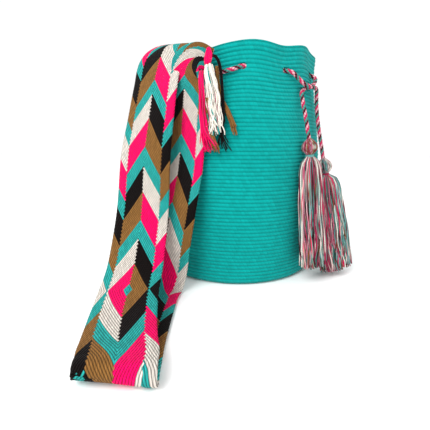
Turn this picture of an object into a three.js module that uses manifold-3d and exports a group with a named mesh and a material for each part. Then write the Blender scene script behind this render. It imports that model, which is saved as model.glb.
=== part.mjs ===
// A crocheted mochila shoulder bag: bucket body, woven strap, drawstring with two tassels.
// Millimetres, +Z up. The origin is the centre of the bag's round base, on the surface it
// stands on. Bearings are in degrees from the near side (-Y), positive towards +X.
import * as THREE from 'three';
import { mergeVertices } from 'three/addons/utils/BufferGeometryUtils.js';
import Module from 'manifold-3d';

const wasm = await Module();
wasm.setup();

// ---- driving dimensions ----
const BODY_HEIGHT = 290;
const BASE_RADIUS = 115;
const BELLY_RADIUS = 117;
const MOUTH_RADIUS = 100;
const WALL = 4;
const BASE_CORNER = 8;
const LEAN = 5; // how far the mouth's centre stands towards +X
const RIM_WAVE = 2;
const PLEAT_DEPTH = 1.6; // the drawstring's gathers above GATHER_START
const GATHER_START = 235;

const EYELETS = 12;
const EYELET_START = 28; // bearing of the eyelet that the first end leaves by
const EYELET_HEIGHT = 262;
const EYELET_RADIUS = 3.6;

const CORD_RADIUS = 2.4;
const CORD_OFFSET = 4.2; // cord's centreline off the wall's surfaces
const CORD_CLEARANCE = 0.8; // all round the cord where it passes the wall
const CORD_STEPS = 80;

const STRAP_WIDTH = 65;
const STRAP_THICKNESS = 2.6;
const STRAP_BOW = 1;
const STRAP_END_WIDTH = 24;
const STRAP_TAPER = 60;

const GAP = 0.35; // between pieces that touch
const NECK_RADIUS = 4.2; // of a tassel, under its binding
const BINDING_GAP = 0.45;

// ---- colours ----
const TEAL = 0x16b3aa;
const PINK = 0xf2085f;
const BLACK = 0x150d0b;
const BROWN = 0x8f6a3a;
const CREAM = 0xeee9df;
const ROSE_MIX = 0xb9647c;

const group = new THREE.Group();

/** Names a closed geometry, gives it a cloth material and adds it to the part. */
function addPiece(name, geometry, colour, roughness = 0.9) {
  const material = new THREE.MeshStandardMaterial({ color: colour, roughness, metalness: 0 });
  const mesh = new THREE.Mesh(geometry, material);
  mesh.name = name;
  group.add(mesh);
  return mesh;
}

const radians = THREE.MathUtils.degToRad;
const vec = (x, y, z) => new THREE.Vector3(x, y, z);

/** The point at a bearing and distance from the bag's leaning axis, at height z. */
function around(bearing, radius, z) {
  const turn = radians(bearing);
  return vec(lean(z) + radius * Math.sin(turn), -radius * Math.cos(turn), z);
}

/** Sideways shift of the bag's axis at height z. */
function lean(z) {
  return LEAN * Math.pow(Math.max(z, 0) / BODY_HEIGHT, 1.5);
}

// ---- crochet body ----

/** Outer radius at height z: straight sides that draw in towards the mouth. */
function bodyRadius(z) {
  const belly = THREE.MathUtils.smoothstep(z, 0, 60);
  const drawn = THREE.MathUtils.smoothstep(z, 140, 285);
  return BASE_RADIUS + (BELLY_RADIUS - BASE_RADIUS) * belly - (BELLY_RADIUS - MOUTH_RADIUS) * drawn;
}

/** How far the strap's weight presses the mouth inwards at a bearing and height. */
function strapDent(bearing, z) {
  return 5 * Math.exp(-(((bearing + 44) / 20) ** 2)) * THREE.MathUtils.smoothstep(z, 190, 280);
}

/** How far the rim stands above or below its height at a bearing. */
function rimWave(bearing) {
  const strapDip = -5 * Math.exp(-(((bearing + 38) / 16) ** 2));
  return -RIM_WAVE + RIM_WAVE * Math.cos(radians(8 * (bearing - 2))) + strapDip;
}

/** Leans, pleats and waves the turned body. */
function shapeBody(geometry) {
  const position = geometry.attributes.position;
  for (let i = 0; i < position.count; i += 1) {
    const x = position.getX(i);
    const y = position.getY(i);
    const z = position.getZ(i);
    const bearing = THREE.MathUtils.radToDeg(Math.atan2(x, -y));
    const gathered = THREE.MathUtils.smoothstep(z, GATHER_START, BODY_HEIGHT);
    const pleat = gathered * PLEAT_DEPTH * Math.cos(radians((bearing - EYELET_START) * EYELETS));
    const radius = Math.hypot(x, y);
    const inwards = pleat + strapDent(bearing, z);
    const scale = radius > 1 ? (radius - inwards) / radius : 1;
    const rise = rimWave(bearing) * THREE.MathUtils.smoothstep(z, 180, BODY_HEIGHT);
    position.setXYZ(i, x * scale + lean(z), y * scale, z + rise);
  }
  return geometry;
}

function bodyGeometry() {
  const heights = [20, 60, 110, 150, 185, 215, 235, 250, 262, 275];
  const outside = heights.map((z) => new THREE.Vector2(bodyRadius(z), z));
  const inside = heights.slice().reverse().map((z) => new THREE.Vector2(bodyRadius(z) - WALL, z));
  const profile = [
    new THREE.Vector2(0, 0),
    new THREE.Vector2(BASE_RADIUS - BASE_CORNER, 0),
    new THREE.Vector2(BASE_RADIUS - 0.3 * BASE_CORNER, 0.3 * BASE_CORNER),
    new THREE.Vector2(BASE_RADIUS, BASE_CORNER),
    ...outside,
    new THREE.Vector2(MOUTH_RADIUS, BODY_HEIGHT - 1),
    new THREE.Vector2(MOUTH_RADIUS - WALL / 2, BODY_HEIGHT),
    new THREE.Vector2(MOUTH_RADIUS - WALL, BODY_HEIGHT - 1),
    ...inside,
    new THREE.Vector2(BASE_RADIUS - WALL, BASE_CORNER),
    new THREE.Vector2(BASE_RADIUS - WALL - 3, WALL),
    new THREE.Vector2(0, WALL),
  ];
  const turned = new THREE.LatheGeometry(profile, 60);
  turned.rotateX(Math.PI / 2);
  return shapeBody(turned);
}

/** A closed three.js geometry as a solid that can be cut. */
function toSolid(geometry) {
  const bare = geometry.clone();
  bare.deleteAttribute('normal');
  bare.deleteAttribute('uv');
  const merged = mergeVertices(bare, 1e-4);
  const mesh = new wasm.Mesh({
    numProp: 3,
    vertProperties: new Float32Array(merged.attributes.position.array),
    triVerts: new Uint32Array(merged.index.array),
  });
  return new wasm.Manifold(mesh);
}

/** A cut solid back as a three.js geometry. */
function toGeometry(solid) {
  const mesh = solid.getMesh();
  const geometry = new THREE.BufferGeometry();
  geometry.setAttribute('position', new THREE.BufferAttribute(mesh.vertProperties, 3));
  geometry.setIndex(new THREE.BufferAttribute(mesh.triVerts, 1));
  return geometry;
}

/** The bearing of eyelet number i; the cord meets them in this order. */
const eyeletBearing = (i) => EYELET_START - i * (360 / EYELETS);

function buildBody() {
  let solid = toSolid(bodyGeometry());
  for (let i = 0; i < EYELETS; i += 1) {
    const bearing = eyeletBearing(i);
    const hole = new THREE.CylinderGeometry(EYELET_RADIUS, EYELET_RADIUS, 30, 10);
    hole.rotateZ(radians(bearing));
    const centre = around(bearing, wallRadius(bearing) - WALL / 2, eyeletZ(bearing));
    hole.translate(centre.x, centre.y, centre.z);
    solid = solid.subtract(toSolid(hole));
  }
  const way = cordGeometry(drawstringRoute(), CORD_RADIUS + CORD_CLEARANCE, CORD_STEPS);
  solid = solid.subtract(toSolid(way));
  addPiece('crochet_body', toGeometry(solid), TEAL);
}

/** Outer radius of the wall at a bearing, at the eyelets' height. */
function wallRadius(bearing) {
  return bodyRadius(EYELET_HEIGHT) - strapDent(bearing, EYELET_HEIGHT);
}

/** Height of an eyelet's centre: it follows the wave of the rim. */
function eyeletZ(bearing) {
  return EYELET_HEIGHT + 0.8 * rimWave(bearing);
}

// ---- drawstring ----

/** The cord's route: from one tassel to the tie, in and out of every eyelet, and back. */
function drawstringRoute() {
  const step = 360 / EYELETS;
  const threaded = [];
  for (let i = 0; i < EYELETS; i += 1) {
    const bearing = eyeletBearing(i);
    threaded.push(around(bearing, wallRadius(bearing) - WALL / 2, eyeletZ(bearing)));
    if (i < EYELETS - 1) {
      const runsInside = i % 2 === 0;
      const offset = runsInside ? -WALL - CORD_OFFSET : CORD_OFFSET;
      const sag = runsInside ? 1 : 4;
      for (const share of [0.3, 0.7]) {
        const at = bearing - share * step;
        const z = THREE.MathUtils.lerp(eyeletZ(bearing), eyeletZ(bearing - step), share) - sag;
        threaded.push(around(at, wallRadius(at) + offset, z));
      }
    }
  }
  const first = FIRST_END.map(([bearing, radius, z]) => around(bearing, radius, z));
  const second = SECOND_END.map(([bearing, radius, z]) => around(bearing, radius, z));
  return [...first, ...threaded, ...second];
}

// The two free ends, each point a bearing, a distance from the axis and a height. They cross
// once in the tie, the first in front, and hang down to the tassels on each other's side.
const FIRST_END = [
  [57.5, 127.5, 156],
  [57, 124, 172],
  [56.5, 117.5, 200],
  [57, 113.5, 220],
  [57, 112, 233],
  [54, 113, 241],
  [47, 114.3, 242.5],
  [40, 114, 243],
  [35, 110.5, 249],
  [31, 107, 256],
];
const SECOND_END = [
  [60, 106.8, 256],
  [57, 107.4, 249],
  [50, 107, 243.5],
  [43, 107.2, 240.5],
  [39, 109.5, 234],
  [38.5, 113.5, 222],
  [38.8, 119, 204],
  [39.4, 124.5, 181.4],
];

/** A round cord along points, closed at both ends. */
function cordGeometry(points, radius, steps, sides = 8) {
  const section = new THREE.Shape();
  section.absarc(0, 0, radius, 0, 2 * Math.PI, false);
  const curve = new THREE.CatmullRomCurve3(points, false, 'centripetal');
  return new THREE.ExtrudeGeometry(section, {
    steps,
    extrudePath: curve,
    curveSegments: sides / 2,
    bevelEnabled: false,
  });
}

function buildDrawstring() {
  addPiece('drawstring', cordGeometry(drawstringRoute(), CORD_RADIUS, CORD_STEPS), ROSE_MIX);
}

// ---- tassels ----

/** A yarn tassel: looped head, waist for the binding, and a skirt that is flat to the bag. */
function tasselGeometry(length, broad, narrow, facing) {
  const profile = [
    [0, 0],
    [5, -0.8],
    [9, -5],
    [10.2, -10],
    [8, -15],
    [4.2, -18],
    [4.2, -22],
    [7.5, -30],
    [broad * 0.72, -0.5 * length],
    [broad * 0.94, -0.78 * length],
    [broad, -length + 3],
    [broad * 0.9, -length],
    [0, -length],
  ];
  const points = profile.map(([r, z]) => new THREE.Vector2(r, z));
  const geometry = new THREE.LatheGeometry(points.reverse(), 20);
  geometry.rotateX(Math.PI / 2);
  const position = geometry.attributes.position;
  for (let i = 0; i < position.count; i += 1) {
    const flattened = 1 - THREE.MathUtils.smoothstep(position.getZ(i), -0.5 * length, -22);
    position.setY(i, position.getY(i) * (1 - flattened * (1 - narrow / broad)));
  }
  geometry.rotateZ(radians(facing));
  return geometry;
}

/** The wrap of yarn that binds a tassel's waist, a ring with a gap all round. */
function bindingGeometry() {
  const inner = NECK_RADIUS + BINDING_GAP;
  const outer = inner + 2;
  const ring = [
    [inner, -21.3],
    [outer, -21],
    [outer + 0.5, -19.7],
    [outer, -18.4],
    [inner, -18.1],
    [inner, -21.3],
  ];
  const geometry = new THREE.LatheGeometry(ring.map(([r, z]) => new THREE.Vector2(r, z)), 20);
  geometry.rotateX(Math.PI / 2);
  return geometry;
}

/** Hangs a tassel and its binding from a cord's end, leaning out from the bag. */
function buildTassel(side, { top, length, broad, narrow, facing, leanX, leanY }) {
  const tassel = tasselGeometry(length, broad, narrow, facing);
  const meshes = [
    addPiece(`tassel_${side}`, tassel, ROSE_MIX),
    addPiece(`tassel_binding_${side}`, bindingGeometry(), PINK),
  ];
  for (const mesh of meshes) {
    mesh.position.set(...top);
    mesh.rotation.set(radians(leanX), radians(leanY), 0);
  }
}

const TASSELS = {
  left: {
    top: [82, -96, 180.8], length: 160, broad: 20, narrow: 13, facing: 35, leanX: -1.8, leanY: -5,
  },
  right: {
    top: [110, -68.5, 155.5], length: 150, broad: 24, narrow: 15, facing: 20, leanX: -2.5, leanY: -10,
  },
};

// ---- strap ----

// The strap's route from its rear end over the mouth, down the left front, along the surface in
// a flat loop and back up to its front end. Each row is a point on the centreline and the
// direction across the strap, from its left edge to its right edge.
const STRAP_ROUTE = [
  [[53.5, 92.5, 268], [0.87, -0.5, 0]],
  [[54.5, 94.5, 283], [0.86, -0.5, 0]],
  [[48, 88, 297], [0.8, -0.58, 0]],
  [[28, 68, 299.5], [0.72, -0.68, 0]],
  [[-12, 28, 296], [0.7, -0.72, -0.03]],
  [[-55, -13, 300], [0.72, -0.69, -0.1]],
  [[-76, -35, 300], [0.74, -0.65, -0.15]],
  [[-91, -53, 292], [0.8, -0.58, -0.04]],
  [[-98, -64, 275], [0.86, -0.48, -0.12]],
  [[-103, -80, 246], [0.89, -0.46, 0]],
  [[-108.5, -97, 201], [0.92, -0.38, 0.04]],
  [[-113.5, -107, 162], [0.95, -0.28, 0.05]],
  [[-117, -118, 104], [0.98, -0.18, 0.05]],
  [[-119, -135, 70], [0.99, -0.12, 0.07]],
  [[-120.5, -158, 42], [0.99, -0.1, 0.08]],
  [[-121.5, -187, 25], [0.99, -0.06, 0.06]],
  [[-118, -220, 18], [0.99, -0.1, 0.04]],
  [[-113, -248, 16], [0.97, -0.2, 0.02]],
  [[-108, -268, 17], [0.98, -0.15, 0]],
  [[-106, -283, 16], [0.98, -0.13, 0]],
  [[-105, -290, 10], [0.98, -0.13, 0]],
  [[-106, -284, 4], [0.98, -0.13, 0]],
  [[-107, -266, 2.7], [0.98, -0.1, 0]],
  [[-108, -235, 2.6], [0.99, -0.06, 0]],
  [[-107.5, -190, 2.6], [1, 0, 0]],
  [[-106, -150, 2.9], [1, 0, 0]],
  [[-103, -134, 7], [1, -0.03, 0]],
  [[-98, -126, 22], [0.99, -0.1, 0]],
  [[-92, -121, 55], [0.96, -0.26, 0]],
  [[-83, -112, 102], [0.93, -0.36, 0]],
  [[-74, -102, 151], [0.9, -0.43, 0]],
  [[-69.5, -94, 203], [0.86, -0.5, 0]],
  [[-67, -91.5, 236], [0.86, -0.5, 0]],
  [[-65.5, -92.5, 254], [0.8, -0.5, -0.33]],
  [[-60, -96, 265.5], [0.5, -0.3, -0.8]],
  [[-49, -101.5, 271], [0.05, -0.05, -1]],
  [[-35.5, -104.5, 266.5], [-0.35, 0.15, -0.92]],
];

/** The strap's centreline, with frames that keep the strap's face as the route says. */
class StrapPath extends THREE.CatmullRomCurve3 {
  constructor(route) {
    super(route.map(([point]) => vec(...point)), false, 'centripetal');
    this.across = new THREE.CatmullRomCurve3(route.map(([, side]) => vec(...side)), false, 'centripetal');
    this.last = route.length - 1;
  }

  /** Width at a distance along: tapered where the two ends are gathered and sewn. */
  widthScale(distance, length) {
    const fromEnd = Math.min(distance, length - distance);
    const full = THREE.MathUtils.smoothstep(fromEnd, 0, STRAP_TAPER);
    return (STRAP_END_WIDTH + (STRAP_WIDTH - STRAP_END_WIDTH) * full) / STRAP_WIDTH;
  }

  computeFrenetFrames(steps) {
    const tangents = [];
    const normals = [];
    const binormals = [];
    const length = this.getLength();
    for (let i = 0; i <= steps; i += 1) {
      const t = this.getUtoTmapping(i / steps);
      const tangent = this.getTangent(t);
      const side = this.across.getPoint(t);
      side.addScaledVector(tangent, -side.dot(tangent)).normalize();
      const face = tangent.clone().cross(side).normalize();
      tangents.push(tangent);
      normals.push(side.multiplyScalar(this.widthScale((i / steps) * length, length)));
      binormals.push(face);
    }
    return { tangents, normals, binormals };
  }
}

/** The strap's cross-section: a thin band, slightly bowed across its width. */
function strapSection() {
  const half = STRAP_WIDTH / 2;
  const columns = [-1, -0.4, 0.4, 1];
  const bow = (c) => STRAP_BOW * (0.4 - c * c);
  const edge = (c, side) => new THREE.Vector2(c * half, bow(c) + (side * STRAP_THICKNESS) / 2);
  const lower = columns.map((c) => edge(c, -1));
  const upper = columns.map((c) => edge(c, 1)).reverse();
  return new THREE.Shape([...lower, ...upper]);
}

function buildStrap() {
  const geometry = new THREE.ExtrudeGeometry(strapSection(), {
    steps: 96,
    extrudePath: new StrapPath(STRAP_ROUTE),
    bevelEnabled: false,
  });
  addPiece('strap', geometry, CREAM);
}

// ---- yarn ends and stitching at the strap's two sewn ends ----

// Each bundle of loose yarn is a radius, a colour and the points it hangs along.
const FRONT_FRINGE = {
  white: [4.6, CREAM, [[-38, -111, 260], [-37, -113.5, 251], [-35, -113, 237], [-33.5, -114.5, 212],
    [-32, -119, 184]]],
  black: [2.2, BLACK, [[-34, -109, 270.5], [-29.5, -110.5, 268.5], [-25, -112, 256], [-23, -111, 236],
    [-22, -113.5, 208], [-24, -117.5, 187], [-20, -119.5, 166]]],
  brown: [2, BROWN, [[-29.5, -106.5, 260], [-28.5, -105.8, 246], [-25, -105.5, 228], [-18.5, -109.5, 214],
    [-13, -113.5, 200], [-8.5, -118.5, 184]]],
  pink: [2.5, PINK, [[-45.5, -109, 254], [-46.5, -113.5, 247], [-46, -115, 232], [-45, -115.5, 210],
    [-43, -117.5, 190], [-36, -120.5, 165]]],
};
const REAR_BEARINGS = { white: 153.8, black: 150.8, brown: 148.4, pink: 145.8 };
const REAR_LENGTHS = { white: 78, black: 98, brown: 84, pink: 92 };
const REAR_RADII = { white: 3, black: 2, brown: 2, pink: 2 };

function buildFringe() {
  for (const [yarn, [radius, colour, points]] of Object.entries(FRONT_FRINGE)) {
    const route = points.map((p) => vec(...p));
    addPiece(`fringe_${yarn}_front`, cordGeometry(route, radius, 12), colour);
    const top = 265.6;
    const bearing = REAR_BEARINGS[yarn];
    const length = REAR_LENGTHS[yarn];
    const drop = [
      around(bearing, 104.8, top),
      around(bearing, 111.5, top - 9),
      around(bearing, 113, top - 0.5 * length),
      around(bearing, 119, top - length),
    ];
    addPiece(`fringe_${yarn}_rear`, cordGeometry(drop, REAR_RADII[yarn], 10), colour);
  }
}

/** A short row of whipping over each sewn end of the strap. */
function buildStitching() {
  const front = [vec(-40, -108.5, 267), vec(-39.5, -108.7, 272), vec(-39, -108.7, 277)];
  const rear = [vec(43, 102, 271), vec(54.6, 96.6, 271), vec(65.5, 88.8, 271)];
  addPiece('stitching_front', cordGeometry(front, 1, 6), TEAL);
  addPiece('stitching_rear', cordGeometry(rear, 1, 6), TEAL);
}

buildBody();
buildDrawstring();
buildTassel('left', TASSELS.left);
buildTassel('right', TASSELS.right);
buildStrap();
buildFringe();
buildStitching();

export default group;
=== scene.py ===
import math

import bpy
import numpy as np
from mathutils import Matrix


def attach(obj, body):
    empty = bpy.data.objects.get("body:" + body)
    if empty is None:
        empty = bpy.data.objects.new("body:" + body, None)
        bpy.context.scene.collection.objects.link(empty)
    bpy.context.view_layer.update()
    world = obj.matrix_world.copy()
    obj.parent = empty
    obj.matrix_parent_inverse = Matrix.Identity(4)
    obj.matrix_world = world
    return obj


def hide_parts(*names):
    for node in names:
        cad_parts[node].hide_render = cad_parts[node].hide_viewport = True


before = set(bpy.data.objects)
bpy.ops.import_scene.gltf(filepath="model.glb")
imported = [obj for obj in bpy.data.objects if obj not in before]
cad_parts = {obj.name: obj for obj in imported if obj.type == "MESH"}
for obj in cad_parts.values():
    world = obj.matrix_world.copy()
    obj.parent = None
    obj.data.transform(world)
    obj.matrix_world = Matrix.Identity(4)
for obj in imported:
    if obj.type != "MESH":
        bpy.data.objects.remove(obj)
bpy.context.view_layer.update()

# The looks of a crocheted bucket shoulder bag with a woven band, a drawstring and two tassels.
# Tables and functions work in millimetres, and MM turns them into metres in the mesh. A bearing
# is an angle in degrees round the bag: 0 is the near side, and 90 is the right-hand side.

MM = 0.001

# ---- driving dimensions, as the frame's own ----
BODY_HEIGHT = 290
BASE_RADIUS = 115
BELLY_RADIUS = 117
MOUTH_RADIUS = 100
WALL = 4
BASE_CORNER = 8
LEAN = 5
PLEAT_DEPTH = 1.6
GATHER_START = 235

EYELETS = 12
EYELET_START = 28
EYELET_HEIGHT = 262
EYELET_RADIUS = 3.6

CORD_RADIUS = 2.4
CORD_OFFSET = 4.2

BAND_WIDTH = 65
BAND_THICKNESS = 2.6
BAND_BOW = 1
BAND_END_WIDTH = 24
BAND_TAPER = 60

ROW_PITCH = 4.67  # of the crochet
STITCHES = 156  # in a round of crochet


def srgb(red, green, blue):
    """A colour given as 0 to 255 on screen, as the linear numbers that shaders take."""
    value = np.array([red, green, blue]) / 255
    linear = np.where(value <= 0.04045, value / 12.92, ((value + 0.055) / 1.055) ** 2.4)
    return (*linear.tolist(), 1.0)


TEAL = srgb(3, 149, 144)
# a deeper teal, painted into the crochet's grooves and stitch gaps as shade
TEAL_PAINTED_SHADE = srgb(0, 104, 100)
PINK = srgb(244, 6, 96)
BLACK = srgb(14, 8, 7)
BROWN = srgb(134, 94, 48)
CREAM = srgb(238, 231, 220)
ROSE = srgb(166, 40, 78)
PALE_ROSE = srgb(200, 112, 136)
AQUA = srgb(104, 160, 156)
SOFT_GREEN = srgb(60, 122, 112)
BAND_TEAL = srgb(40, 158, 152)
BAND_CREAM = srgb(212, 204, 194)


# ---- arithmetic on whole arrays ----
def smoothstep(x, low, high):
    """0 below low, 1 above high, and 3 t^2 - 2 t^3 between them."""
    t = np.clip((np.asarray(x, float) - low) / (high - low), 0, 1)
    return t * t * (3 - 2 * t)


def unit(vectors):
    """The same directions with length 1."""
    return vectors / np.maximum(np.linalg.norm(vectors, axis=-1, keepdims=True), 1e-12)


CURVE_PIECES = 40  # points that a curve gets between two of its given points


def fine_curve(points, pieces=CURVE_PIECES):
    """A centripetal Catmull-Rom curve through points: on each stretch, the cubic whose slopes at
    its two ends come from the neighbouring points, weighted by the square roots of the gaps."""
    p = np.asarray(points, float)
    row = np.vstack([2 * p[0] - p[1], p, 2 * p[-1] - p[-2]])
    a, b, c, d = row[:-3], row[1:-2], row[2:-1], row[3:]
    ab, bc, cd = (np.maximum(np.linalg.norm(v - u, axis=1), 1e-9)[:, None] ** 0.5
                  for u, v in ((a, b), (b, c), (c, d)))
    leaving = ((b - a) / ab - (c - a) / (ab + bc) + (c - b) / bc) * bc
    arriving = ((c - b) / bc - (d - b) / (bc + cd) + (d - c) / cd) * bc
    t = np.linspace(0, 1, pieces, endpoint=False)[:, None, None]
    curve = ((2 * t**3 - 3 * t**2 + 1) * b + (t**3 - 2 * t**2 + t) * leaving
             + (3 * t**2 - 2 * t**3) * c + (t**3 - t**2) * arriving)
    return np.vstack([curve.transpose(1, 0, 2).reshape(-1, p.shape[1]), p[-1:]])


def distance_along(line):
    """How far along a line each of its points is."""
    steps = np.linalg.norm(np.diff(line[:, :3], axis=0), axis=1)
    return np.concatenate([[0], np.cumsum(steps)])


def at_distances(line, along, wanted):
    """Values of a line's columns at the wanted distances along it."""
    return np.stack([np.interp(wanted, along, line[:, k]) for k in range(line.shape[1])], axis=-1)


def even_curve(points, spacing):
    """A smooth curve through points, as evenly spaced points, with their distances along."""
    line = fine_curve(points)
    along = distance_along(line)
    wanted = np.linspace(0, along[-1], max(2, round(along[-1] / spacing) + 1))
    return at_distances(line, along, wanted), wanted


def carried_frames(line):
    """Two directions across a line at each point, carried along it without twist: each pair is
    the last pair reflected twice, once for the step and once for the turn of the tangent."""
    tangent = unit(np.gradient(line, axis=0))
    side = np.cross(tangent[0], [0.0, 0.0, 1.0])
    if np.linalg.norm(side) < 0.1:
        side = np.cross(tangent[0], [0.0, 1.0, 0.0])
    sides = [side / np.linalg.norm(side)]
    for i in range(len(line) - 1):
        step = line[i + 1] - line[i]
        moved = sides[-1] - 2 * step * (step @ sides[-1]) / (step @ step)
        turned = tangent[i] - 2 * step * (step @ tangent[i]) / (step @ step)
        turn = tangent[i + 1] - turned
        size = turn @ turn
        moved = moved - 2 * turn * (turn @ moved) / size if size > 1e-12 else moved
        sides.append(moved)
    sides = np.array(sides)
    return sides, np.cross(tangent, sides)


# ---- meshes from arrays ----
def make_piece(name, vertices, faces, corners=None, colours=None):
    """A mesh object from vertices in millimetres and arrays of faces. corners holds a UV pair
    for each corner of each face, and colours one colour for each vertex."""
    flat = np.concatenate([part.ravel() for part in faces])
    sizes = np.concatenate([np.full(len(part), part.shape[1]) for part in faces])
    mesh = bpy.data.meshes.new(name)
    mesh.vertices.add(len(vertices))
    mesh.vertices.foreach_set("co", (np.asarray(vertices) * MM).astype(np.float32).ravel())
    mesh.loops.add(len(flat))
    mesh.loops.foreach_set("vertex_index", flat.astype(np.int32))
    mesh.polygons.add(len(sizes))
    mesh.polygons.foreach_set("loop_start", (np.cumsum(sizes) - sizes).astype(np.int32))
    mesh.update(calc_edges=True)
    mesh.polygons.foreach_set("use_smooth", np.ones(len(sizes), dtype=bool))
    if corners is not None:
        layer = mesh.uv_layers.new(name="weave")
        layer.data.foreach_set("uv", np.concatenate(corners).astype(np.float32).ravel())
    if colours is not None:
        colour = mesh.attributes.new("yarn", "FLOAT_COLOR", "POINT")
        colour.data.foreach_set("color", np.asarray(colours, np.float32).ravel())
    mesh.validate()
    piece = bpy.data.objects.new(name, mesh)
    bpy.context.scene.collection.objects.link(piece)
    return piece


def grid_faces(rows, columns, wrap=False):
    """Quads between the neighbours of a grid, and each quad's row and column. With wrap, the last
    column meets the first."""
    r, c = np.meshgrid(np.arange(rows - 1), np.arange(columns if wrap else columns - 1), indexing="ij")
    r, c = r.ravel(), c.ravel()
    after = (c + 1) % columns
    quads = np.stack([r * columns + c, r * columns + after,
                      (r + 1) * columns + after, (r + 1) * columns + c], axis=-1)
    return quads, r, c


def grid_corners(r, c, across, along):
    """UV pairs for the quads at rows r and columns c: across has a value for each column and one
    more, and along a value for each row."""
    u = np.stack([across[c], across[c + 1], across[c + 1], across[c]], axis=-1)
    v = np.stack([along[r], along[r], along[r + 1], along[r + 1]], axis=-1)
    return np.stack([u, v], axis=-1).reshape(-1, 2)


def fans(starts, sides, flip):
    """Triangles that close rings of vertices: each ring begins at a number in starts."""
    k = np.arange(1, sides - 1)
    ring = np.stack([np.zeros_like(k), k, k + 1], axis=-1)
    ring = ring[:, ::-1] if flip else ring
    return (np.asarray(starts)[:, None, None] + ring[None]).reshape(-1, 3)


def tube(name, line, ring_points, colours=None, along=None):
    """A closed tube: ring_points is (stations, sides, 2), the section's two distances across the
    line at each station."""
    first, second = carried_frames(line)
    stations, sides = ring_points.shape[:2]
    points = (line[:, None] + ring_points[..., :1] * first[:, None]
              + ring_points[..., 1:] * second[:, None])
    quads, r, c = grid_faces(stations, sides, wrap=True)
    across = np.linspace(0, 1, sides + 1)
    corners = grid_corners(r, c, across, along)
    start = fans([0], sides, True)
    end = fans([(stations - 1) * sides], sides, False)
    ends = np.zeros((3 * (len(start) + len(end)), 2))
    return make_piece(name, points.reshape(-1, 3), [quads, start, end], [corners, ends], colours)


def yarns(name, lines, radius, colours, reference, sides=5):
    """Many yarns as one piece. lines is (yarns, steps, 3), radius (yarns, steps), colours
    (yarns, steps, 4), and reference a direction for each yarn that it never runs along. A yarn's
    section is a ring of radius r, across its tangent."""
    count, steps = lines.shape[:2]
    tangent = unit(np.gradient(lines, axis=1))
    first = unit(np.cross(tangent, reference[:, None]))
    second = np.cross(tangent, first)
    angle = np.linspace(0, 2 * np.pi, sides, endpoint=False)
    ring = (np.cos(angle)[:, None] * first[:, :, None] + np.sin(angle)[:, None] * second[:, :, None])
    points = lines[:, :, None] + radius[:, :, None, None] * ring
    quads, r, c = grid_faces(steps, sides, wrap=True)
    offset = np.arange(count)[:, None, None] * steps * sides
    faces = (quads[None] + offset).reshape(-1, 4)
    length = np.linalg.norm(np.diff(lines, axis=1), axis=2).mean()
    corners = np.tile(grid_corners(r, c, np.linspace(0, 1, sides + 1), np.arange(steps) * length), (count, 1))
    starts = np.arange(count) * steps * sides
    caps = np.concatenate([fans(starts, sides, True), fans(starts + (steps - 1) * sides, sides, False)])
    spread = np.repeat(colours[:, :, None], sides, axis=2).reshape(-1, 4)
    return make_piece(name, points.reshape(-1, 3), [faces, caps],
                      [corners, np.zeros((3 * len(caps), 2))], spread)


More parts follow.
